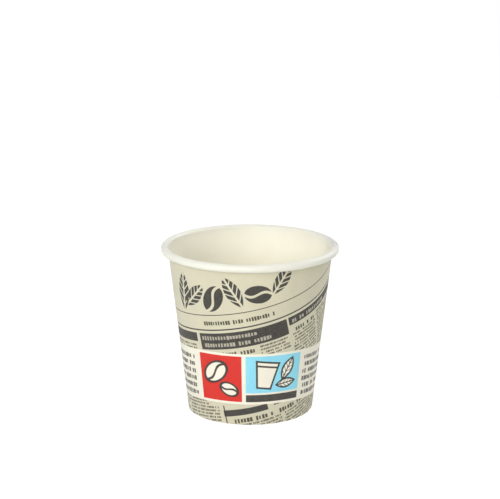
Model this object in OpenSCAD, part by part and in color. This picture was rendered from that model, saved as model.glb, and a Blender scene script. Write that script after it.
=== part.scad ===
// Single-wall paper cup for an espresso, about 100 ml.
//
// The side wall is a fan-shaped board blank, wrapped into a cone and sealed
// along one lapped seam. Its top edge is rolled outwards into the rim, and its
// bottom edge is folded inwards and up around the skirt of a recessed base.
// Millimetres. +Z is up, and the origin is where the cup's axis meets the table.

/* [Cup] */
// Height from the table to the top of the rim
cup_h = 60; // [45:1:130]
// Outside diameter of the rolled rim
rim_d = 63.2; // [58:0.2:96]
// Outside diameter of the wall where it would meet the table
foot_d = 44.2; // [36:0.2:52]

/* [Side wall] */
// Thickness of the side wall's board
wall_t = 0.3; // [0.2:0.05:0.5]
// Diameter of the roll at the rim
roll_d = 2.8; // [2.4:0.1:4]
// Height of the hem that is folded up inside the foot
hem_h = 5; // [3:0.5:10]
// Width of the lapped seam at the foot
seam_w = 5.6; // [4:0.2:9]
// Direction of the seam's inner edge, from +X towards +Y
seam_dir = 4; // [0:1:359]

/* [Base] */
// Thickness of the base's board
base_t = 0.3; // [0.2:0.05:0.5]
// Radius of the bend from the base down into its skirt
bend_r = 0.7; // [0.6:0.1:1.5]
// Room between the top of the hem and the underside of the base
hem_room = 0.7; // [0.5:0.1:2]

/* [Fit] */
// Thickness of the melted film between two sealed faces
film_t = 0.02; // [0.01:0.01:0.05]
// Room between the skirt's lower edge and the middle of the fold
skirt_room = 0.2; // [0.1:0.1:0.6]
// Gap between the tucked end of the roll and the wall
tuck_gap = 0.05; // [0.02:0.01:0.1]
// How much of the fold's underside is pressed flat
foot_press = 0.06; // [0.03:0.01:0.1]

/* [Hidden] */
$fn = 72;

print_ground = "#d6d2b6";
bare_board = "#f6f1e0";

// Overlap by which the base's disc and skirt run into its bend
weld = 0.02;

// Lengths along the wall are kept to a thousandth, so that what meets there is flush
function flush(x) = round(1000 * x) / 1000;

rim_r = rim_d / 2;
foot_r = foot_d / 2;
roll_r = roll_d / 2;
// The tucked turn of the roll is smaller, so that it clears the wall
tuck_r = roll_r - wall_t - tuck_gap;

// The wall's inner face runs up into the roll, which gives the wall's lean
roll_axis = [rim_r - roll_r - foot_r, cup_h - roll_r];
roll_out = roll_r - wall_t;
lean = atan2(roll_axis.x, roll_axis.y) - asin(roll_out / norm(roll_axis));
// Length of the wall along its slope, from the table to the middle of the roll
wall_len = flush(sqrt(norm(roll_axis) ^ 2 - roll_out ^ 2));

// The fold turns around the skirt's edge, with film on both faces of the skirt
fold_r = wall_t + film_t + base_t / 2;
fold_len = flush((fold_r * (1 - sin(lean)) - foot_press) / cos(lean));
hem_len = flush(hem_h / cos(lean));

// Heights and lengths of the base follow from the hem
base_top = hem_h + hem_room + base_t;
skirt_out = -wall_t - film_t;
bend_out = skirt_out - bend_r;
bend_len = (base_top - bend_r + bend_out * sin(lean)) / cos(lean);
base_len = flush(base_top / cos(lean));
bend_axis = [foot_r + bend_out * cos(lean) + bend_len * sin(lean), base_top - bend_r];

// Before the seam the wall climbs by one thickness, on an arc with a shifted axis
seam_angle = seam_w / foot_r * 180 / PI;
ramp_shift = 16 * wall_t;
ramp_angle = floor(10 * acos(1 - wall_t / ramp_shift + wall_t / (foot_r - 2 * fold_r))) / 10;

// Draws in the section of the wall: x out from its outer face, y up its slope
module on_wall() {
    difference() {
        translate([foot_r, 0]) rotate(-lean) children();
        translate([0, -roll_d]) square([rim_r, roll_d]);
    }
}

// One layer of the wall's board, from the fold up, whose outer face stands out by `out`
module layer(out, high) {
    translate([out - wall_t, fold_len]) square([wall_t, high - fold_len]);
}

// Section of a board bent around a full circle of outer radius r
module ring(r, t = wall_t) {
    difference() {
        circle(r);
        circle(r - t);
    }
}

// The rolled rim: three quarters of a turn, then a smaller turn tucked inside
module roll() {
    translate([roll_out, wall_len]) {
        difference() {
            ring(roll_r);
            translate([-roll_d, -roll_d]) square(roll_d);
        }
        intersection() {
            translate([0, tuck_r - roll_r]) ring(tuck_r);
            translate([-roll_d, -roll_d]) square([roll_d, 2 * roll_d]);
        }
    }
}

// The half turn under the skirt, of outer radius r
module fold(r = fold_r) {
    translate([-fold_r, fold_len]) intersection() {
        ring(r);
        translate([-r, -r]) square([2 * r, r]);
    }
}

module hem(out = wall_t - 2 * fold_r) {
    layer(out, hem_len);
}

module turn(from, to) {
    rotate_extrude(angle = to - from, start = from, $fn = 180) children();
}

// The wall where it climbs over the inner edge of the seam
module seam_ramp() {
    intersection() {
        turn(-ramp_angle, 0) square([rim_r, cup_h]);
        translate([ramp_shift, 0, 0]) rotate_extrude($fn = 180)
            translate([wall_t - ramp_shift, 0]) on_wall() {
                layer(0, wall_len);
                fold();
            }
    }
}

// The outer flap of the seam, with its own fold and hem around the inner one's
module seam_flap() {
    turn(0, seam_angle) on_wall() {
        layer(wall_t, wall_len);
        fold(fold_r + wall_t);
        hem(-2 * fold_r);
    }
}

module side_wall() {
    color(print_ground) rotate([0, 0, seam_dir]) {
        turn(0, 360 - ramp_angle) on_wall() {
            layer(0, wall_len);
            roll();
            fold();
            hem();
        }
        turn(-ramp_angle, 0) on_wall() {
            layer(0, base_len);
            roll();
            fold();
            hem();
        }
        seam_ramp();
        seam_flap();
    }
}

// Recessed base: a disc whose edge is bent down into a skirt along the wall
module base_disc() {
    color(bare_board) rotate_extrude($fn = 180) {
        translate([0, base_top - base_t]) square([bend_axis.x + weld, base_t]);
        translate(bend_axis) intersection() {
            ring(bend_r, base_t);
            polygon([[0, 0], 2 * bend_r * [cos(lean), -sin(lean)], 2 * bend_r * [1, 1], [0, 2 * bend_r]]);
        }
        on_wall() translate([skirt_out - base_t, fold_len + skirt_room])
            square([base_t, bend_len - fold_len - skirt_room + weld]);
    }
}

side_wall();
base_disc();
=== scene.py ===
# %% [markdown]
# # A paper cup for an espresso
#
# This small cup holds about 100 ml and is made of two pieces of coated board.
# A fan-shaped blank, printed flat, is wrapped into a cone and sealed along one
# lapped seam. Its top edge is rolled outwards into the rim, and its bottom edge
# is folded up around the skirt of a recessed base. The two boards could be
# dressed in place, but their CAD solids are one colour each. So both are built
# again here as fine meshes that know where each point lay on the flat blank,
# and the print is drawn on that blank, as a printer would.

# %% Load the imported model
import math

import bpy
import mathutils
import numpy as np
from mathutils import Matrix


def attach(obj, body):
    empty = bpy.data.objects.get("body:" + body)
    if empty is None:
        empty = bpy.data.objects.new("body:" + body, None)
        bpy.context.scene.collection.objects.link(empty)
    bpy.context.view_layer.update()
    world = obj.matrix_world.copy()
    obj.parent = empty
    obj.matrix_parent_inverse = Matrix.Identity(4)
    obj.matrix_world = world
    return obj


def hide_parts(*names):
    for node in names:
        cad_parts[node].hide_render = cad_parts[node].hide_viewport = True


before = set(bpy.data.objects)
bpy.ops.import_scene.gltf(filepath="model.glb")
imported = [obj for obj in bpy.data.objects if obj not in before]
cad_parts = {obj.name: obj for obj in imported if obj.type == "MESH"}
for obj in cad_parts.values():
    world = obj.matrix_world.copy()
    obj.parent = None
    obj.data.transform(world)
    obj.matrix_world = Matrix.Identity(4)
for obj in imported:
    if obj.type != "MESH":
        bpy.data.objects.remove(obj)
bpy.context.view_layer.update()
print("nodes of the frame:", sorted(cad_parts))

# %% [markdown]
# ## Two helpers
#
# Colours are easiest to pick as sRGB hex values, but a shader wants them
# linear, so one function turns them. A second one adds a shader node, sets it
# and links it. A group of nodes made by hand would look the same, but in code
# one short call per node can be read from top to bottom.

# %% Colours and nodes
MM = 0.001


def linear(hex_colour):
    """The linear colour, with alpha, of an sRGB hex value."""
    parts = [int(hex_colour[i:i + 2], 16) / 255 for i in (1, 3, 5)]
    return [p / 12.92 if p <= 0.04045 else ((p + 0.055) / 1.055) ** 2.4 for p in parts] + [1.0]


def add_node(tree, kind, inputs=None, **settings):
    """Add a node, set it, and fill each input with a value, a socket or a node."""
    node = tree.nodes.new("ShaderNode" + kind)
    for name, value in settings.items():
        setattr(node, name, value)
    for socket, value in (inputs or {}).items():
        if isinstance(value, bpy.types.Node):
            value = value.outputs[0]
        if isinstance(value, bpy.types.NodeSocket):
            tree.links.new(value, node.inputs[socket])
        else:
            node.inputs[socket].default_value = value
    return node


print("paper white as linear light:", [round(part, 3) for part in linear("#ffffff")])

# %% [markdown]
# ## Where the photograph was taken from
#
# The picture is a product shot through a long lens, about 16 degrees above the
# table. The cup fills only the lower part of it, because the lens points a
# little higher than the cup. Shifting the lens would give the same picture,
# but it would push the cup off centre in every other view, so the camera is
# tilted instead.

# %% The camera
CAMERA_RISE = math.radians(16.264)
CAMERA_TILT = math.radians(14.044)
CAMERA_AWAY = 699.5 * MM
AIM_HEIGHT = 30 * MM
LENS_LENGTH = 140.57
SENSOR_WIDTH = 36

lens = bpy.data.cameras.new("camera")
lens.sensor_width = SENSOR_WIDTH
lens.lens = LENS_LENGTH
lens.clip_start = 10 * MM
camera = bpy.data.objects.new("camera", lens)
bpy.context.scene.collection.objects.link(camera)
camera_height = AIM_HEIGHT + CAMERA_AWAY * math.sin(CAMERA_RISE)
camera.location = (0, -CAMERA_AWAY * math.cos(CAMERA_RISE), camera_height)
camera.rotation_euler = (math.pi / 2 - CAMERA_TILT, 0, 0)
bpy.context.scene.camera = camera
print("camera at, in mm:", [round(1000 * value, 1) for value in camera.location])

# %% [markdown]
# ## The side wall's section
#
# Cut through the cup and the side wall is one strip of board. From its raw
# edge inside the foot it runs down as the hem, turns under the base's skirt,
# climbs the wall, and rolls outwards into the rim, one and a quarter turns of
# it. A curve with thickness would give the same strip, but stepping along the
# middle of the board in code keeps its length, which the print needs. The
# sizes are the ones that the CAD source works with.

# %% Sizes of the side wall, in mm
CUP_H = 60
RIM_R = 31.6
FOOT_R = 22.1
WALL_T = 0.3
ROLL_R = 1.4
HEM_H = 5
FILM_T = 0.02
TUCK_GAP = 0.05
FOOT_PRESS = 0.06

roll_out = ROLL_R - WALL_T
roll_reach = (RIM_R - ROLL_R - FOOT_R, CUP_H - ROLL_R)
lean = math.atan2(*roll_reach) - math.asin(roll_out / math.hypot(*roll_reach))
wall_len = math.sqrt(math.hypot(*roll_reach) ** 2 - roll_out ** 2)
tuck_r = ROLL_R - WALL_T - TUCK_GAP
fold_r = WALL_T + FILM_T + WALL_T / 2
fold_len = (fold_r * (1 - math.sin(lean)) - FOOT_PRESS) / math.cos(lean)
hem_len = HEM_H / math.cos(lean)
print("lean", round(math.degrees(lean), 3), "degrees, length of the wall", round(wall_len, 3), "mm")

# %% Walk along the board
HEM_ROWS = 7
FOLD_ROWS = 10
WALL_ROWS = 26
ROLL_ROWS = 26
TUCK_ROWS = 12
SQUEEZE = 0.65
SQUEEZE_TURN = math.radians(40)


def board_walk(climb, room):
    """Rows of x, y, which way the print faces, length along the blank, and thickness.

    x is measured out from the wall's outer face and y up its slope. The board
    stands out by climb where it laps over itself, and leaves room in the roll,
    where the curling tool squeezes each layer to about a third of its thickness.
    """
    wall_x = climb - WALL_T / 2
    bend = fold_r + wall_x
    rows = []
    for y in np.linspace(hem_len, fold_len, HEM_ROWS, endpoint=False):
        rows.append((-fold_r - bend, y, -1, 0, 2 * fold_len - math.pi * bend - y, WALL_T))
    for a in np.linspace(-math.pi, 0, FOLD_ROWS, endpoint=False):
        c, s = math.cos(a), math.sin(a)
        rows.append((bend * c - fold_r, fold_len + bend * s, c, s, fold_len + bend * a, WALL_T))
    for y in np.linspace(fold_len, wall_len, WALL_ROWS, endpoint=False):
        rows.append((wall_x, y, 1, 0, y, WALL_T))
    for a in np.linspace(math.pi, -math.pi / 2, ROLL_ROWS, endpoint=False):
        c, s = math.cos(a), math.sin(a)
        squeeze = SQUEEZE * min(1, (math.pi - a) / SQUEEZE_TURN)
        thickness = WALL_T - room * squeeze
        curl = ROLL_R - climb * (1 - squeeze) - thickness / 2
        run = wall_len + curl * (math.pi - a)
        rows.append((roll_out + curl * c, wall_len + curl * s, -c, -s, run, thickness))
    rolled = wall_len + curl * 1.5 * math.pi
    tuck = tuck_r - (climb + room) * (1 - SQUEEZE) - thickness / 2
    tuck_y = wall_len - curl + tuck
    for a in np.linspace(-math.pi / 2, -1.5 * math.pi, TUCK_ROWS):
        c, s = math.cos(a), math.sin(a)
        run = rolled - tuck * (math.pi / 2 + a)
        rows.append((roll_out + tuck * c, tuck_y + tuck * s, -c, -s, run, thickness))
    return np.array(rows)


plain_walk = board_walk(0, 0)
ROWS = len(plain_walk)
board_ends = [round(plain_walk[end, 4], 2) for end in (0, -1)]
print("rows along the board:", ROWS, "between, in mm:", board_ends)

# %% [markdown]
# ## Wrapping the blank
#
# The blank goes once around the cone and laps over its own first edge by
# 5.6 mm at the foot. Just before the lap the board climbs by its own
# thickness, so both raw edges stay visible, one inside the cup and one
# outside. A Screw modifier could spin the section, but it knows no lap. Here
# each column of points gets its own climb, and everything is laid out in one
# numpy array.

# %% Columns around the cup
SEAM_DIR = 4
SEAM_W = 5.6
RAMP_SHIFT = 16 * WALL_T
FRONT = 266
COLUMNS = 361
SEAL_PRESS = 0.06

seam_angle = math.degrees(SEAM_W / FOOT_R)
ramp_angle = math.degrees(math.acos(1 - WALL_T / RAMP_SHIFT + WALL_T / (FOOT_R - 2 * fold_r)))
angles = np.linspace(0, 360 + seam_angle, COLUMNS)


def climb_at(angle):
    """How far the board has climbed over its first edge, on an arc with a shifted axis."""
    if angle < 360 - ramp_angle:
        return 0
    turn = math.radians(min(angle, 360) - 360)
    arc_r = FOOT_R + WALL_T - RAMP_SHIFT
    reach = RAMP_SHIFT * math.cos(turn) + math.sqrt(arc_r ** 2 - (RAMP_SHIFT * math.sin(turn)) ** 2)
    return max(0, reach - FOOT_R)


def room_at(angle):
    """How much room the roll leaves for the other layer of the seam."""
    if angle <= 180:
        return WALL_T * np.interp(angle, [seam_angle, seam_angle + ramp_angle], [1, 0])
    return climb_at(angle)


print("the lap is", round(seam_angle, 2), "degrees wide, and the ramp before it", round(ramp_angle, 2))

# %% Points of the side wall
KNURL_DEPTH = 0.07
KNURLS = 72


def around_cone(x, y, angle):
    """A point of the wall's section, turned to its place around the cup, in mm."""
    radius = FOOT_R + x * math.cos(lean) + y * math.sin(lean)
    height = y * math.cos(lean) - x * math.sin(lean)
    turn = np.radians(SEAM_DIR + angle)
    return np.stack([radius * np.cos(turn), radius * np.sin(turn), height], axis=-1)


wall_points = np.zeros((COLUMNS, ROWS, 2, 3))
wall_run = np.zeros((COLUMNS, ROWS))
for column, angle in enumerate(angles):
    x, y, face_x, face_y, run, thickness = board_walk(climb_at(angle), room_at(angle)).T
    knurl = np.zeros(ROWS)
    knurl[1:HEM_ROWS] = KNURL_DEPTH * (0.5 + 0.5 * math.cos(math.radians(KNURLS * angle)))
    half = thickness / 2
    wall_points[column, :, 0] = around_cone(x + face_x * (half - knurl), y + face_y * half, angle)
    wall_points[column, :, 1] = around_cone(x - face_x * half, y - face_y * half, angle)
    lowest = SEAL_PRESS if angle <= seam_angle else 0
    wall_points[column, :, 0, 2] = np.maximum(wall_points[column, :, 0, 2], lowest)
    wall_points[column, :, 1, 2] = np.maximum(wall_points[column, :, 1, 2], lowest + SEAL_PRESS)
    wall_run[column] = run

print("points of the side wall:", wall_points.size // 3)
wall_heights = wall_points[..., 2]
print("lowest and highest, in mm:", wall_heights.min().round(3), wall_heights.max().round(3))

# %% [markdown]
# ## Where each point lay on the flat blank
#
# A cone unrolls into a fan. A point at the slope length s and at the angle a
# around the cup lies at the radius s + foot / sin(lean) from the fan's tip,
# and at the angle a * sin(lean) around it. The first map keeps these flat
# coordinates, for the newsprint and the paper's fibres. The second one keeps
# the way around the cup and up its slope, for the band that follows the cup.
# A third gives each face its own place in a square, for baking. The outside
# gets most of that square, laid down in two halves.

# %% Maps of the side wall
MAP_UNIT = 100
BAND_R = 24.2

tip_r = FOOT_R / math.sin(lean)
fan = np.radians(angles - FRONT)[:, None] * math.sin(lean)
from_tip = tip_r + wall_run
flat_map = np.stack([from_tip * np.sin(fan), from_tip * np.cos(fan) - tip_r], axis=-1) / MAP_UNIT
way_round = np.repeat(np.radians(angles - FRONT)[:, None] * BAND_R, ROWS, axis=1)
round_map = np.stack([way_round, wall_run], axis=-1) / MAP_UNIT
print("the blank spans, in mm:", (np.ptp(flat_map, axis=(0, 1)) * MAP_UNIT).round(1))


def quads(first, across, up, flip):
    """Corner numbers of the quads in a grid of points, with their places in the grid."""
    grids = np.meshgrid(np.arange(len(across) - 1), np.arange(len(up) - 1), indexing="ij")
    i, j = (grid.ravel() for grid in grids)
    near = np.stack([i, i + 1, i + 1, i], axis=1)
    high = np.stack([j, j, j + 1, j + 1], axis=1)
    if flip:
        near, high = near[:, ::-1], high[:, ::-1]
    return first[near, high], across[near], up[high]


def spread(values):
    """The same values, scaled to run from 0 to 1."""
    low = min(values[0], values[-1])
    return np.abs((np.asarray(values, float) - low) / (values[-1] - values[0]))


class Skin:
    """Gathers the faces of one piece with their material and their place for baking."""

    def __init__(self):
        self.faces = []
        self.materials = []
        self.places = []

    def add(self, corners, across, up, material, box, flip=False, turned=False):
        """Add a grid of faces, laid into a box of the square for baking."""
        face, near, high = quads(corners, spread(across), spread(up), flip)
        left, right, bottom, top = box
        if turned:
            near, high = high, near
        self.faces.append(face)
        self.materials.append(np.full(len(face), material))
        place = [left + near * (right - left), bottom + high * (top - bottom)]
        self.places.append(np.stack(place, axis=-1))


print("maps of the blank are kept in units of", MAP_UNIT, "mm")

# %% Faces of the side wall
PRINT, COAT, CUT = 0, 1, 2
BAKE_WIDTH = (0.004, 0.996)
BAKE_HALVES = ((0.004, 0.496), (0.504, 0.996))
BAKE_HEIGHTS = {"outside": (0.27, 0.996), "inside": (0.066, 0.252), "hem outside": (0.036, 0.06),
                "hem inside": (0.016, 0.022), "inner roll": (0.026, 0.032), "hem edge": (0.009, 0.012),
                "roll edge": (0.003, 0.006), "seam edge": (0.257, 0.264)}
SEAM_EDGE_WIDTH = 0.4
ROLL_END_WIDTH = (0.41, 0.49)

wall_number = np.arange(COLUMNS * ROWS * 2).reshape(COLUMNS, ROWS, 2)
length = plain_walk[:, 4]
foot_row = HEM_ROWS + FOLD_ROWS // 2
roll_row = HEM_ROWS + FOLD_ROWS + WALL_ROWS
middle = COLUMNS // 2
thick = [0, 1]
hem = slice(0, foot_row + 1)
slope = slice(foot_row, roll_row + 1)
roll = slice(roll_row, ROWS)
up_to_roll = slice(0, roll_row + 1)
past_hem = slice(foot_row, ROWS)

wall_skin = Skin()
for part, half in zip((slice(0, middle + 1), slice(middle, COLUMNS)), BAKE_HALVES):
    wall_skin.add(wall_number[part, slope, 0], angles[part], length[slope], PRINT,
                  half + BAKE_HEIGHTS["outside"], turned=True)
for rows, side, material, place, flip in ((hem, 0, PRINT, "hem outside", False),
                                          (roll, 0, PRINT, "inner roll", False),
                                          (past_hem, 1, COAT, "inside", True),
                                          (hem, 1, COAT, "hem inside", True)):
    wall_skin.add(wall_number[:, rows, side], angles, length[rows], material,
                  BAKE_WIDTH + BAKE_HEIGHTS[place], flip=flip)
for row, place, flip in ((0, "hem edge", True), (-1, "roll edge", False)):
    wall_skin.add(wall_number[:, row], angles, thick, CUT, BAKE_WIDTH + BAKE_HEIGHTS[place], flip=flip)
for end, left, flip in ((0, BAKE_HALVES[0][0], False), (-1, BAKE_HALVES[1][0], True)):
    wall_skin.add(wall_number[end, up_to_roll], length[up_to_roll], thick, CUT,
                  (left, left + SEAM_EDGE_WIDTH) + BAKE_HEIGHTS["seam edge"], flip=flip)
    roll_end = tuple(left + side for side in ROLL_END_WIDTH)
    wall_skin.add(wall_number[end, roll], length[roll], thick, COAT,
                  roll_end + BAKE_HEIGHTS["seam edge"], flip=flip)
print("faces of the side wall:", sum(len(part) for part in wall_skin.faces))

# %% Turn the numbers into a Blender mesh
SHARP = math.radians(38)


def board_piece(name, points, skin, maps):
    """Make an object from points in mm, the faces in skin, and the named maps."""
    corners = np.concatenate([block.ravel() for block in skin.faces])
    used, number = np.unique(corners, return_inverse=True)
    numbers = iter(number.tolist())
    faces = [[next(numbers) for _ in face] for block in skin.faces for face in block]
    mesh = bpy.data.meshes.new(name)
    mesh.from_pydata((points.reshape(-1, 3)[used] * MM).tolist(), [], faces)
    for map_name, values in maps.items():
        layer = mesh.uv_layers.new(name=map_name)
        layer.uv.foreach_set("vector", values.reshape(-1, 2)[corners].astype(np.float32).ravel())
    bake = mesh.uv_layers.new(name="OFBake")
    places = np.concatenate([place.reshape(-1, 2) for place in skin.places])
    bake.uv.foreach_set("vector", places.astype(np.float32).ravel())
    mesh.polygons.foreach_set("material_index", np.concatenate(skin.materials).astype(np.int32))
    mesh.shade_smooth()
    mesh.set_sharp_from_angle(angle=SHARP)
    mesh.validate()
    piece = bpy.data.objects.new(name, mesh)
    bpy.context.scene.collection.objects.link(piece)
    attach(piece, "root")
    return piece


wall_maps = {"Blank": np.repeat(flat_map[:, :, None], 2, axis=2),
             "Round": np.repeat(round_map[:, :, None], 2, axis=2)}
side_wall = board_piece("side_wall_board", wall_points, wall_skin, wall_maps)
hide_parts("side_wall")
print("side wall:", len(side_wall.data.polygons), "faces")

# %% [markdown]
# ## The base
#
# The base is a disc of the same board with its edge bent down into a skirt.
# The skirt is sealed between the wall and the hem, and the disc sits 6 mm
# above the table. It is round and has no lap, so its section is simply spun,
# with the same two-sided walk along the middle of the board.

# %% Points of the base
BASE_T = 0.3
BEND_R = 0.7
HEM_ROOM = 0.7
SKIRT_ROOM = 0.2
BASE_COLUMNS = 181
SKIRT_ROWS = 5
BEND_ROWS = 9
DISC_RINGS = (21, 19.5, 17.5, 15, 12.5, 10, 7.5, 5, 2.5, 0)

base_top = HEM_H + HEM_ROOM + BASE_T
skirt_x = -WALL_T - FILM_T - BASE_T / 2
bend_x = -WALL_T - FILM_T - BEND_R
bend_y = (base_top - BEND_R + bend_x * math.sin(lean)) / math.cos(lean)
bend_r = FOOT_R + bend_x * math.cos(lean) + bend_y * math.sin(lean)
base_rows = []
for y in np.linspace(fold_len + SKIRT_ROOM, bend_y, SKIRT_ROWS, endpoint=False):
    skirt_r = FOOT_R + skirt_x * math.cos(lean) + y * math.sin(lean)
    skirt_up = y * math.cos(lean) - skirt_x * math.sin(lean)
    base_rows.append((skirt_r, skirt_up, math.cos(lean), -math.sin(lean)))
bend_middle = BEND_R - BASE_T / 2
for a in np.linspace(-lean, math.pi / 2, BEND_ROWS, endpoint=False):
    out, up = math.cos(a), math.sin(a)
    base_rows.append((bend_r + bend_middle * out, base_top - BEND_R + bend_middle * up, out, up))
for r in (bend_r,) + DISC_RINGS:
    base_rows.append((r, base_top - BASE_T / 2, 0, 1))
base_walk = np.array(base_rows)
base_angles = np.linspace(0, 2 * math.pi, BASE_COLUMNS)
ring = np.stack([np.cos(base_angles), np.sin(base_angles)], axis=-1)

base_points = np.zeros((BASE_COLUMNS, len(base_walk), 2, 3))
for side, offset in ((0, BASE_T / 2), (1, -BASE_T / 2)):
    radius = base_walk[:, 0] + offset * base_walk[:, 2]
    base_points[:, :, side, :2] = radius[None, :, None] * ring[:, None]
    base_points[:, :, side, 2] = base_walk[:, 1] + offset * base_walk[:, 3]
print("rows of the base:", len(base_walk), "points:", base_points.size // 3)

# %% Maps and faces of the base
ROUND_PLACE = 0.245
SKIRT_EDGE_PLACE = (0.1, 0.11)
TOP, UNDER = 0, 1

steps = np.hypot(*np.diff(base_walk[::-1, :2], axis=0).T)
base_run = np.concatenate([[base_walk[-1, 0]], base_walk[-1, 0] + np.cumsum(steps)])[::-1]
base_flat = base_run[None, :, None] * ring[:, None] / MAP_UNIT
base_number = np.arange(BASE_COLUMNS * len(base_walk) * 2).reshape(BASE_COLUMNS, len(base_walk), 2)
base_number[-1] = base_number[0]
base_number[:, -1] = base_number[0, -1]

base_skin = Skin()
for side, centre in ((TOP, (0.25, 0.5)), (UNDER, (0.75, 0.5))):
    for rows in (np.arange(len(base_walk) - 1), np.arange(len(base_walk) - 2, len(base_walk))):
        numbers = base_number[:, rows, side]
        face, near, high = quads(numbers, np.arange(BASE_COLUMNS), rows, side == UNDER)
        spoke = base_run[high][..., None] * ring[near]
        place = spoke * ROUND_PLACE / base_run[0] + np.array(centre)
        if rows[-1] == len(base_walk) - 1:
            three = slice(1, 4) if side == UNDER else slice(0, 3)
            face, place = face[:, three], place[:, three]
        base_skin.faces.append(face)
        base_skin.materials.append(np.full(len(face), side))
        base_skin.places.append(place)
base_skin.add(base_number[:, 0], base_angles, thick, CUT, BAKE_WIDTH + SKIRT_EDGE_PLACE, flip=True)
base_maps = {"Blank": np.repeat(base_flat[:, :, None], 2, axis=2)}
base_disc = board_piece("base_board", base_points, base_skin, base_maps)
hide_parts("base_disc")
print("base:", len(base_disc.data.polygons), "faces")

# %% [markdown]
# ## The paper itself
#
# Cup board is bleached wood pulp, pressed and dried on rollers. Its fibres lie
# mostly along the sheet, so it is a little streaky one way. Light wanders
# between them, as deep as the board is thick, and some comes out on the other
# side, so the eye takes it for a soft matt white that glows a little inside
# the cup. Subsurface scattering gives that, as the two faces are one closed
# mesh.
# Real fibres are 1 to 2 mm long and 0.03 mm thick, too fine for this picture,
# so they are drawn about five times as thick. A texture of noise stretched
# along the flat blank gives both the mottling and the relief.

# %% Fibres of the board
FIBRE_LENGTH = 1.6
FIBRE_WIDTH = 0.16
CLOUD = 9.0
SCATTER = 1.0
SCATTER_REACH = (1.0, 1.0, 1.0)
NOISE_RANGE = (0.3, 0.7)
RELIEF = 0.05 * MM


def flat_place(tree, turn=0.0):
    """Coordinates on the flat blank in mm, turned by an angle."""
    flat = add_node(tree, "UVMap", uv_map="Blank")
    placed = {"Vector": flat, "Rotation": (0, 0, turn), "Scale": (1 / MAP_UNIT, 1 / MAP_UNIT, 1)}
    return add_node(tree, "Mapping", placed, vector_type="TEXTURE")


def fibres(tree):
    """Noise streaks as fine as fibres, 0 to 1."""
    size = (1 / FIBRE_LENGTH, 1 / FIBRE_WIDTH, 1)
    place = add_node(tree, "Mapping", {"Vector": flat_place(tree), "Scale": size})
    noise = {"Vector": place, "Scale": 1.0, "Detail": 3.0, "Roughness": 0.6}
    return add_node(tree, "TexNoise", noise, noise_dimensions="2D")


def clouds(tree):
    """Slow mottling of the sheet, 0 to 1."""
    noise = {"Vector": flat_place(tree), "Scale": 1 / CLOUD, "Detail": 2.0}
    return add_node(tree, "TexNoise", noise, noise_dimensions="2D")


def shade(tree, colour, pattern, dark, light):
    """Multiply a colour by a grey that follows a 0 to 1 pattern."""
    low, high = NOISE_RANGE
    ends = {"Value": pattern, "From Min": low, "From Max": high, "To Min": dark, "To Max": light}
    grey = add_node(tree, "MapRange", ends)
    return add_node(tree, "VectorMath", {0: colour, 3: grey}, operation="SCALE")


def new_material(name):
    """An empty material with its Principled shader."""
    material = bpy.data.materials.new(name)
    material.use_nodes = True
    return material, material.node_tree, material.node_tree.nodes["Principled BSDF"]


print("fibres are drawn", FIBRE_LENGTH, "by", FIBRE_WIDTH, "mm")

# %% [markdown]
# ## The coated inside
#
# The inside, and so the outside of the rolled rim, is coated with a film of
# polyethylene, laid on hot by extrusion. It is clear, so the board's cream
# white shows through, with a soft sheen and a faint orange peel. Its IOR is
# 1.51. A film that took the chill roll's satin finish is about 0.4 rough.

# %% Extrusion-coated board
PEEL = 1.4
FILM_IOR = 1.51
BOARD_MOTTLE = (0.985, 1.01)


def coated_board(name, hex_colour, roughness):
    """Board with its mottling, fibres and orange peel under a smooth face."""
    material, tree, shader = new_material(name)
    cream = add_node(tree, "RGB")
    cream.outputs[0].default_value = linear(hex_colour)
    mottled = shade(tree, cream, clouds(tree), *BOARD_MOTTLE)
    colour = shade(tree, mottled, fibres(tree), *BOARD_MOTTLE)
    tree.links.new(colour.outputs[0], shader.inputs["Base Color"])
    noise = {"Vector": flat_place(tree), "Scale": 1 / PEEL, "Detail": 1.0}
    peel = add_node(tree, "TexNoise", noise, noise_dimensions="2D")
    relief = add_node(tree, "Math", {0: peel, 1: fibres(tree)}, operation="ADD")
    bump = add_node(tree, "Bump", {"Height": relief, "Strength": 0.25, "Distance": RELIEF})
    tree.links.new(bump.outputs[0], shader.inputs["Normal"])
    shader.inputs["Roughness"].default_value = roughness
    shader.inputs["Subsurface Weight"].default_value = SCATTER
    shader.inputs["Subsurface Radius"].default_value = SCATTER_REACH
    shader.inputs["Subsurface Scale"].default_value = WALL_T * MM
    shader.inputs["IOR"].default_value = FILM_IOR
    return material


film_inside = coated_board("polyethylene-coated board, satin", "#fcf5e7", 0.4)
film_under = coated_board("uncoated board underside", "#efe8d2", 0.75)
print("made:", film_inside.name, "and", film_under.name)

# %% [markdown]
# ## The raw edge
#
# Where the blank was die-cut, the board shows its pulp: a shade browner than
# its faces, fuzzy and without any sheen. It is only 0.3 mm high, but at the
# lap and at the rim a light line there is what says paper.

# %% Die-cut edge
BOARD_IOR = 1.5
PULP = "#e6dcc0"
PULP_MOTTLE = (0.9, 1.04)


def cut_edge():
    """Raw pulp, streaked by its fibres and quite matt."""
    material, tree, shader = new_material("die-cut board edge")
    pulp = add_node(tree, "RGB")
    pulp.outputs[0].default_value = linear(PULP)
    colour = shade(tree, pulp, fibres(tree), *PULP_MOTTLE)
    tree.links.new(colour.outputs[0], shader.inputs["Base Color"])
    shader.inputs["Roughness"].default_value = 0.9
    shader.inputs["IOR"].default_value = BOARD_IOR
    return material


raw_edge = cut_edge()
print("made:", raw_edge.name)

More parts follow.
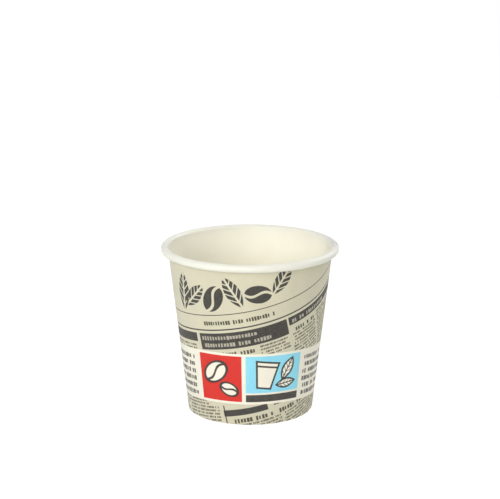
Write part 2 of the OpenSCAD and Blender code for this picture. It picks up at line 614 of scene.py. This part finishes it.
# %% [markdown]
# ## The print: a sheet of newspaper
#
# The outside is printed by flexography before the blank is cut: first a flat
# tone of old newsprint, then one dark warm ink. The sheet was laid under the
# blank at a slant of 12 degrees, which is why its rules run uphill around the
# cone. The print could be drawn on meshes of their own, but ink has no height,
# so it is drawn in the shader, on the flat blank. A rule, a bar or a column is
# a box in mm. Its text is drawn as rows of short strokes of ink, as a designer
# greeks a text that nobody is meant to read.

# %% Boxes and greeked rows
SLANT = math.radians(12)
PAGE = 96.0
STROKE_HEIGHT = (0.35, 0.15)
STROKE_WIDTH = (0.5, 0.35)


def boxes_on(tree, across, up, boxes):
    """1 where the sheet lies in one of the boxes: left, right, bottom, top."""
    mask = 0.0
    for left, right, bottom, top in boxes:
        width = {0: across, 1: (left + right) / 2, 2: (right - left) / 2}
        wide = add_node(tree, "Math", width, operation="COMPARE")
        height = {0: up, 1: (bottom + top) / 2, 2: (top - bottom) / 2}
        high = add_node(tree, "Math", height, operation="COMPARE")
        mask = add_node(tree, "Math", {0: wide, 1: high, 2: mask}, operation="MULTIPLY_ADD")
    return mask


def greeked(tree, across, up, boxes, base, pitch, stroke, tall, gaps):
    """Rows of short strokes in some boxes, a pitch apart from base, broken into words by gaps.

    Each stroke's height and width are a least share of its cell and a random rest.
    """
    row = add_node(tree, "Math", {0: up, 1: 1 / pitch, 2: -base / pitch}, operation="MULTIPLY_ADD")
    number = add_node(tree, "Math", {0: row}, operation="FLOOR")
    level = add_node(tree, "Math", {0: row}, operation="FRACT")
    start = add_node(tree, "TexWhiteNoise", {"W": number}, noise_dimensions="1D")
    along = add_node(tree, "Math", {0: across, 1: 1 / stroke, 2: start}, operation="MULTIPLY_ADD")
    place = add_node(tree, "Math", {0: along}, operation="FLOOR")
    within = add_node(tree, "Math", {0: along}, operation="FRACT")
    cell = add_node(tree, "CombineXYZ", {0: place, 1: number})
    chance = add_node(tree, "TexWhiteNoise", {"Vector": cell}, noise_dimensions="2D")
    form = add_node(tree, "SeparateColor", {0: chance.outputs["Color"]})
    least, rest = STROKE_HEIGHT
    half_height = {0: form.outputs[1], 1: tall * rest, 2: tall * least}
    reach = add_node(tree, "Math", half_height, operation="MULTIPLY_ADD")
    least, rest = STROKE_WIDTH
    width = add_node(tree, "Math", {0: form.outputs[2], 1: rest, 2: least}, operation="MULTIPLY_ADD")
    from_middle = add_node(tree, "Math", {0: level, 1: tall * 0.5}, operation="SUBTRACT")
    distance = add_node(tree, "Math", {0: from_middle}, operation="ABSOLUTE")
    high = add_node(tree, "Math", {0: distance, 1: reach}, operation="LESS_THAN")
    wide = add_node(tree, "Math", {0: within, 1: width}, operation="LESS_THAN")
    word = add_node(tree, "Math", {0: chance, 1: gaps}, operation="GREATER_THAN")
    unshifted = add_node(tree, "Math", {0: place, 1: start}, operation="SUBTRACT")
    centre_across = {0: unshifted, 1: stroke, 2: stroke / 2}
    cell_across = add_node(tree, "Math", centre_across, operation="MULTIPLY_ADD")
    centre_up = {0: number, 1: pitch, 2: base + pitch * tall / 2}
    cell_up = add_node(tree, "Math", centre_up, operation="MULTIPLY_ADD")
    area = boxes_on(tree, cell_across, cell_up, boxes)
    stroke_on = add_node(tree, "Math", {0: high, 1: wide}, operation="MULTIPLY")
    worded = add_node(tree, "Math", {0: stroke_on, 1: word}, operation="MULTIPLY")
    return add_node(tree, "Math", {0: worded, 1: area}, operation="MULTIPLY")


print("the sheet repeats every", PAGE, "mm along its rows")

# %% [markdown]
# ## Beans and leaves
#
# Along its top the sheet has a frieze of coffee beans and leaves, in the same
# ink. A bean is an ellipse with a wavy crease, and a leaf is the lens between
# two arcs with a rib and side veins. Both are worked out in coordinates of
# their own, one Mapping node each. A pen is half the thickness of a line there.

# %% Motifs
BEAN_WAIST = 0.68
LEAF_WAIST = 0.42
CREASE_WAVE = 2.9
CREASE_BEND = 0.2
CREASE_PEN = 0.8
VEIN_SWEEP = 1.1
VEIN_STEP = 0.36
VEIN_PEN = 0.9
RIB_PEN = 0.6


def own_place(tree, sheet, across, up, half, turn):
    """Coordinates of a motif: -1 to 1 along its length."""
    placed = {"Vector": sheet, "Location": (across, up, 0), "Rotation": (0, 0, math.radians(turn)),
              "Scale": (half, half, 1)}
    mapped = add_node(tree, "Mapping", placed, vector_type="TEXTURE")
    return add_node(tree, "SeparateXYZ", {0: mapped})


def bean(tree, sheet, across, up, half, turn, pen):
    """The body of a coffee bean, and its lines: the outline and the crease."""
    place = own_place(tree, sheet, across, up, half, turn)
    slim = add_node(tree, "Math", {0: place.outputs[1], 1: 1 / BEAN_WAIST}, operation="MULTIPLY")
    spot = add_node(tree, "CombineXYZ", {0: place.outputs[0], 1: slim})
    away = add_node(tree, "VectorMath", {0: spot}, operation="LENGTH").outputs["Value"]
    body = add_node(tree, "Math", {0: away, 1: 1.0}, operation="LESS_THAN")
    edge = add_node(tree, "Math", {0: away, 1: 1.0, 2: pen}, operation="COMPARE")
    phase = add_node(tree, "Math", {0: place.outputs[0], 1: CREASE_WAVE}, operation="MULTIPLY")
    wave = add_node(tree, "Math", {0: phase}, operation="SINE")
    bent = add_node(tree, "Math", {0: wave, 1: CREASE_BEND}, operation="MULTIPLY")
    close = {0: place.outputs[1], 1: bent, 2: pen * CREASE_PEN}
    near = add_node(tree, "Math", close, operation="COMPARE")
    crease = add_node(tree, "Math", {0: near, 1: body}, operation="MULTIPLY")
    return body, add_node(tree, "Math", {0: edge, 1: crease}, operation="MAXIMUM"), crease


def leaf(tree, sheet, across, up, half, turn, pen):
    """The body of a leaf, and its lines: the outline, the rib and the veins."""
    place = own_place(tree, sheet, across, up, half, turn)
    square = add_node(tree, "Math", {0: place.outputs[0], 1: place.outputs[0]}, operation="MULTIPLY")
    waist = add_node(tree, "Math", {0: square, 1: -LEAF_WAIST, 2: LEAF_WAIST}, operation="MULTIPLY_ADD")
    off_rib = add_node(tree, "Math", {0: place.outputs[1]}, operation="ABSOLUTE")
    body = add_node(tree, "Math", {0: off_rib, 1: waist}, operation="LESS_THAN")
    edge = add_node(tree, "Math", {0: off_rib, 1: waist, 2: pen}, operation="COMPARE")
    rib = add_node(tree, "Math", {0: off_rib, 1: 0.0, 2: pen * RIB_PEN}, operation="COMPARE")
    sweep = {0: off_rib, 1: -VEIN_SWEEP, 2: place.outputs[0]}
    swept = add_node(tree, "Math", sweep, operation="MULTIPLY_ADD")
    beat = add_node(tree, "Math", {0: swept, 1: VEIN_STEP}, operation="FLOORED_MODULO")
    vein = add_node(tree, "Math", {0: beat, 1: pen * VEIN_PEN}, operation="LESS_THAN")
    either_vein = add_node(tree, "Math", {0: rib, 1: vein}, operation="MAXIMUM")
    inner = add_node(tree, "Math", {0: either_vein, 1: body}, operation="MULTIPLY")
    return body, add_node(tree, "Math", {0: edge, 1: inner}, operation="MAXIMUM"), inner


print("a bean is", BEAN_WAIST, "and a leaf", LEAF_WAIST, "as wide as long")

# %% [markdown]
# ## The layout of the sheet
#
# All places are in mm on the slanted sheet, whose zero lies at the front of
# the foot. From the top: the frieze, a thin rule, a line of small type, a
# thick rule, a row of dark bars, then columns of text. A box gives its left,
# right, bottom and top, and a motif its middle, half length, turn and pen. A
# kind of type gives a row's height, the pitch of the rows, the width of a
# stroke, how tall the strokes are in the pitch, and the share of gaps.

# %% Newspaper layout
RULES = [(-50, 50, 42.05, 42.35), (-50, 50, 36.45, 36.95), (-8.2, -7.75, -14, 8.4)]
BARS = [(-50, -13.6, 32.3, 35.5), (-12.2, 20.9, 29.5, 35.5), (21.6, 50, 32.4, 35.5),
        (-8.4, 7.6, 4.2, 6.6)]
BAR_TYPE = [(-10.8, 9.6, 32.9, 34.5), (-10.8, 15.2, 30.3, 31.9), (23, 40, 33.2, 34.7)]
LINE_TYPE = [(-9.5, 17.5, 38.3, 40.4)]
HEADINGS = [(-7.5, 7.5, 26.6, 28.6), (22.4, 33.5, 29.8, 31.6), (-4.5, 9.5, 1.2, 3.2),
            (11, 24, 1.2, 3.2), (-44, -28, 28.6, 30.6)]
COLUMNS_OF_TEXT = [(-46, -31, 8, 27.6), (-29.5, -14, 8, 31.2), (9.5, 20.9, 24.6, 29),
                   (22.2, 34, 8, 29.4), (35.2, 47, 8, 31.2), (-46, -27, -14, 8),
                   (-25.5, -9.6, -14, 8), (9.4, 27, 4.6, 8.5), (-6.2, 12, -14, 0.6),
                   (13.2, 31, -14, 0.6), (28.2, 47, -14, 8), (-44, -30, 44.4, 51.5)]
KINDS_OF_TYPE = {"small": (COLUMNS_OF_TEXT, 0, 1.22, 0.55, 0.66, 0.16),
                 "line": (LINE_TYPE, 38.4, 4, 0.95, 0.4, 0.16),
                 "bold": (HEADINGS, 1.2, 2.54, 1.1, 0.7, 0.14),
                 "on bars": (BAR_TYPE, 30.3, 2.6, 1.1, 0.6, 0.14)}
FRIEZE = [(leaf, -17.0, 50.4, 7.4, 80, 0.09), (leaf, -11.4, 49.3, 6.4, 38, 0.1),
          (bean, -3.4, 48.2, 5.2, 52, 0.13), (leaf, 4.4, 50.0, 6.6, 112, 0.1),
          (bean, 13.0, 47.6, 4.8, -14, 0.13), (leaf, 22.4, 50.4, 6.2, 44, 0.1)]


def newspaper(tree):
    """Three masks of ink: solid shapes, type, and the light type on the bars."""
    turned = flat_place(tree, SLANT)
    parts = add_node(tree, "SeparateXYZ", {0: turned})
    along = add_node(tree, "Math", {0: parts.outputs[0], 1: PAGE / 2, 2: -PAGE / 2}, operation="WRAP")
    up = parts.outputs[1]
    sheet = add_node(tree, "CombineXYZ", {0: along, 1: up})
    solid = boxes_on(tree, along, up, RULES + BARS)
    for motif, across, height, half, turn, pen in FRIEZE:
        body, _, inner = motif(tree, sheet, across, height, half, turn, pen)
        filled = add_node(tree, "Math", {0: body, 1: inner}, operation="SUBTRACT")
        solid = add_node(tree, "Math", {0: solid, 1: filled}, operation="MAXIMUM")
    types = {kind: greeked(tree, along, up, *sizes) for kind, sizes in KINDS_OF_TYPE.items()}
    dark = add_node(tree, "Math", {0: types["small"], 1: types["line"]}, operation="MAXIMUM")
    dark = add_node(tree, "Math", {0: dark, 1: types["bold"]}, operation="MAXIMUM")
    return solid, dark, types["on bars"]


print("solid boxes on the sheet:", len(RULES + BARS), "and kinds of type:", len(KINDS_OF_TYPE))

# %% [markdown]
# ## The band
#
# A cream band follows the cup around its lower half. It holds a coral and a
# sky-blue field with a plain cup, leaves and beans, and rows of short strokes
# beside them. It is drawn in mm around the cup and up its slope, and it comes
# twice around. Its edges dip a little at the sides, as the photograph shows,
# because the band was drawn a little more curved than the blank.

# %% Band layout
BAND = (7.9, 27.0)
BAND_DIP = 1.5
BAND_TURN = math.pi * BAND_R
CORAL_FIELD = [(-18.8, -2.9, 8.8, 26.1)]
SKY_FIELD = [(-1.5, 18.9, 12.2, 26.1)]
BAND_BARS = [(-1.5, 18.9, 8.8, 11.5)]
BAND_TYPE = ([(-35.5, -21.4, 9.4, 25.6), (21.4, 35.5, 9.4, 25.6)], 9.4, 2.7, 1.15, 0.66, 0.1)
CUP_FLARE = 0.16
CUP_WAIST = 0.66
CUP_STRIPE = 0.66


def tumbler(tree, sheet, across, up, half, turn, pen):
    """The body of a plain cup, and its lines: the outline and a stripe."""
    place = own_place(tree, sheet, across, up, half, turn)
    taper = add_node(tree, "Math", {0: place.outputs[1], 1: CUP_FLARE, 2: CUP_WAIST},
                     operation="MULTIPLY_ADD")
    side = add_node(tree, "Math", {0: place.outputs[0]}, operation="ABSOLUTE")
    past_side = add_node(tree, "Math", {0: side, 1: taper}, operation="SUBTRACT")
    level = add_node(tree, "Math", {0: place.outputs[1]}, operation="ABSOLUTE")
    past_top = add_node(tree, "Math", {0: level, 1: 1.0}, operation="SUBTRACT")
    past = add_node(tree, "Math", {0: past_side, 1: past_top}, operation="MAXIMUM")
    body = add_node(tree, "Math", {0: past, 1: 0.0}, operation="LESS_THAN")
    edge = add_node(tree, "Math", {0: past, 1: 0.0, 2: pen}, operation="COMPARE")
    stripe = add_node(tree, "Math", {0: place.outputs[1], 1: CUP_STRIPE, 2: pen}, operation="COMPARE")
    inner = add_node(tree, "Math", {0: stripe, 1: body}, operation="MULTIPLY")
    return body, add_node(tree, "Math", {0: edge, 1: inner}, operation="MAXIMUM"), inner


DRAWINGS = [(bean, -12.6, 19.6, 5.0, 38, 0.11), (bean, -7.6, 13.4, 3.4, -24, 0.14),
            (tumbler, 5.6, 18.8, 4.9, -8, 0.07), (leaf, 13.6, 20.8, 4.4, 64, 0.08),
            (leaf, 13.2, 15.4, 3.8, 8, 0.09)]


def band(tree):
    """Masks of the band, its two fields, the dark ink and the cream drawings."""
    flat = add_node(tree, "UVMap", uv_map="Round")
    place = add_node(tree, "Mapping", {"Vector": flat, "Scale": (MAP_UNIT, MAP_UNIT, 1)})
    parts = add_node(tree, "SeparateXYZ", {0: place})
    ends = {0: parts.outputs[0], 1: BAND_TURN / 2, 2: -BAND_TURN / 2}
    around = add_node(tree, "Math", ends, operation="WRAP")
    turn = add_node(tree, "Math", {0: around, 1: 1 / BAND_R}, operation="MULTIPLY")
    sine = add_node(tree, "Math", {0: turn}, operation="SINE")
    square = add_node(tree, "Math", {0: sine, 1: sine}, operation="MULTIPLY")
    fourth = add_node(tree, "Math", {0: square, 1: square}, operation="MULTIPLY")
    up = add_node(tree, "Math", {0: fourth, 1: BAND_DIP, 2: parts.outputs[1]}, operation="MULTIPLY_ADD")
    sheet = add_node(tree, "CombineXYZ", {0: around, 1: up})
    edges = {0: up, 1: sum(BAND) / 2, 2: (BAND[1] - BAND[0]) / 2}
    whole = add_node(tree, "Math", edges, operation="COMPARE")
    coral = boxes_on(tree, around, up, CORAL_FIELD)
    sky = boxes_on(tree, around, up, SKY_FIELD)
    rows = greeked(tree, around, up, *BAND_TYPE)
    bars = boxes_on(tree, around, up, BAND_BARS)
    dark = add_node(tree, "Math", {0: rows, 1: bars}, operation="MAXIMUM")
    cream = 0.0
    for motif, across, height, half, motif_turn, pen in DRAWINGS:
        body, lines, _ = motif(tree, sheet, across, height, half, motif_turn, pen)
        cream = add_node(tree, "Math", {0: cream, 1: body}, operation="MAXIMUM")
        dark = add_node(tree, "Math", {0: dark, 1: lines}, operation="MAXIMUM")
    return whole, coral, sky, cream, dark


print("the band is", round(BAND[1] - BAND[0], 1), "mm high and repeats every", round(BAND_TURN, 1), "mm")

# %% [markdown]
# ## Printed board
#
# The outside is uncoated, so the ink sinks in. It dries matt and a little
# uneven, with paper showing through the solids, and it keeps the board's
# tooth. Uncoated board is about 0.75 rough at an IOR of 1.5, and the ink
# lifts that only a little, so the inked parts are 0.62 rough.

# %% Flexo print on uncoated board
NEWSPRINT = "#dbd7c0"
CREAM = "#f8f3e4"
CORAL = "#e03a30"
SKY_BLUE = "#9fe4fa"
WARM_BLACK = "#3d3935"
BODY_INK = "#56523f"
BAR_PAPER = "#bdb8a8"
THIN_INK = 0.93
PRINT_MOTTLE = (0.975, 1.012)
PRINT_TOOTH = (0.965, 1.02)
BARE_ROUGH = 0.75
INKED_ROUGH = 0.62


def printed_board():
    """Board with the sheet and the band printed on it, one ink after the other."""
    material, tree, shader = new_material("flexo print on uncoated board")
    solid, small_type, bar_type = newspaper(tree)
    whole, coral, sky_field, cream, dark = band(tree)
    grain = fibres(tree)
    cloud = clouds(tree)
    ends = {"Value": grain, "From Min": 0.35, "From Max": 0.65, "To Min": THIN_INK, "To Max": 1.0}
    thin = add_node(tree, "MapRange", ends)
    inks = (solid, small_type, bar_type, dark)
    inks = [add_node(tree, "Math", {0: ink, 1: thin}, operation="MULTIPLY") for ink in inks]
    solid, small_type, bar_type, dark = inks
    start = add_node(tree, "RGB")
    start.outputs[0].default_value = linear(NEWSPRINT)
    colour = start.outputs[0]
    for mask, ink in ((small_type, BODY_INK), (solid, WARM_BLACK), (bar_type, BAR_PAPER),
                      (whole, CREAM), (coral, CORAL), (sky_field, SKY_BLUE), (cream, CREAM),
                      (dark, WARM_BLACK)):
        layer = add_node(tree, "Mix", {0: mask, 6: colour, 7: linear(ink)}, data_type="RGBA")
        colour = layer.outputs[2]
    mottled = shade(tree, colour, cloud, *PRINT_MOTTLE)
    colour = shade(tree, mottled, grain, *PRINT_TOOTH)
    tree.links.new(colour.outputs[0], shader.inputs["Base Color"])
    inked = add_node(tree, "Math", {0: solid, 1: dark}, operation="MAXIMUM")
    rough = add_node(tree, "MapRange", {"Value": inked, "To Min": BARE_ROUGH, "To Max": INKED_ROUGH})
    tree.links.new(rough.outputs[0], shader.inputs["Roughness"])
    bump = add_node(tree, "Bump", {"Height": grain, "Strength": 0.3, "Distance": RELIEF})
    tree.links.new(bump.outputs[0], shader.inputs["Normal"])
    shader.inputs["IOR"].default_value = BOARD_IOR
    shader.inputs["Subsurface Weight"].default_value = SCATTER
    shader.inputs["Subsurface Radius"].default_value = SCATTER_REACH
    shader.inputs["Subsurface Scale"].default_value = WALL_T * MM
    return material


newsprint = printed_board()
for material in (newsprint, film_inside, raw_edge):
    side_wall.data.materials.append(material)
for material in (film_inside, film_under, raw_edge):
    base_disc.data.materials.append(material)
print("nodes in the print:", len(newsprint.node_tree.nodes))

# %% [markdown]
# ## Floor, light and background
#
# The photograph is a packshot on white, lit softly from the front and a
# little from the left, so the right side falls off by a third. Two large
# softboxes and an even sky give that. A third softbox behind the cup, to the
# right, shines into it, so that the inside is as bright as the rim. The floor
# is pale, and to the camera it also glows a little, so that it comes out white
# and still keeps the cup's faint shadow. Glass or metal would see the same
# white floor.

# %% Stage
SKY = 0.45
FLOOR_GLOW = 0.74
FLOOR_SIZE = 1.3


def seen(tree):
    """1 for rays from the camera or from a mirror or glass, 0 for light that bounces."""
    path = add_node(tree, "LightPath")
    direct = path.outputs["Is Camera Ray"]
    for ray in ("Is Glossy Ray", "Is Transmission Ray"):
        direct = add_node(tree, "Math", {0: direct, 1: path.outputs[ray]}, operation="MAXIMUM")
    return direct


half_floor = FLOOR_SIZE / 2
floor_mesh = bpy.data.meshes.new("studio_floor")
floor_corners = [(-half_floor, -half_floor, 0), (half_floor, -half_floor, 0),
                 (half_floor, half_floor, 0), (-half_floor, half_floor, 0)]
floor_mesh.from_pydata(floor_corners, [], [(0, 1, 2, 3)])
studio_floor = bpy.data.objects.new("studio_floor", floor_mesh)
bpy.context.scene.collection.objects.link(studio_floor)
studio_floor.location.z = -0.01 * MM

table, tree, shader = new_material("white laminate table")
shader.inputs["Base Color"].default_value = linear("#f2f2f0")
shader.inputs["Roughness"].default_value = 0.9
shown = add_node(tree, "BsdfDiffuse", {"Color": linear("#b3b3b2")})
glow = add_node(tree, "Emission", {"Color": linear("#ffffff"), "Strength": FLOOR_GLOW})
lit = add_node(tree, "AddShader", {0: shown, 1: glow})
either = add_node(tree, "MixShader", {0: seen(tree), 1: shader, 2: lit})
tree.links.new(either.outputs[0], tree.nodes["Material Output"].inputs["Surface"])
floor_mesh.materials.append(table)

world = bpy.data.worlds.new("sky")
bpy.context.scene.world = world
world.use_nodes = True
tree = world.node_tree
sky = tree.nodes["Background"]
sky.inputs["Color"].default_value = linear("#ffffff")
sky.inputs["Strength"].default_value = SKY
white = add_node(tree, "Background", {"Color": linear("#ffffff"), "Strength": 1.0})
both = add_node(tree, "MixShader", {0: seen(tree), 1: sky, 2: white})
tree.links.new(both.outputs[0], tree.nodes["World Output"].inputs["Surface"])
print("sky", SKY, "and floor glow", FLOOR_GLOW)

# %% Softboxes
SOFTBOXES = {"key_softbox": ((-0.48, -0.80, 0.40), 0.45, 2.1),
             "front_softbox": ((-0.28, -0.90, 0.45), 0.6, 3.8),
             "back_softbox": ((0.60, 0.55, 0.60), 0.5, 3.1)}

for name, (place, size, power) in SOFTBOXES.items():
    lamp = bpy.data.lights.new(name, "AREA")
    lamp.shape = "SQUARE"
    lamp.size = size
    lamp.energy = power
    softbox = bpy.data.objects.new(name, lamp)
    bpy.context.scene.collection.objects.link(softbox)
    softbox.location = place
    aim = mathutils.Vector((0, 0, AIM_HEIGHT)) - softbox.location
    softbox.rotation_euler = aim.to_track_quat("-Z", "Y").to_euler()
    print(name, "of", size, "m at", round(aim.length, 2), "m")
bpy.context.scene.view_settings.view_transform = "Standard"
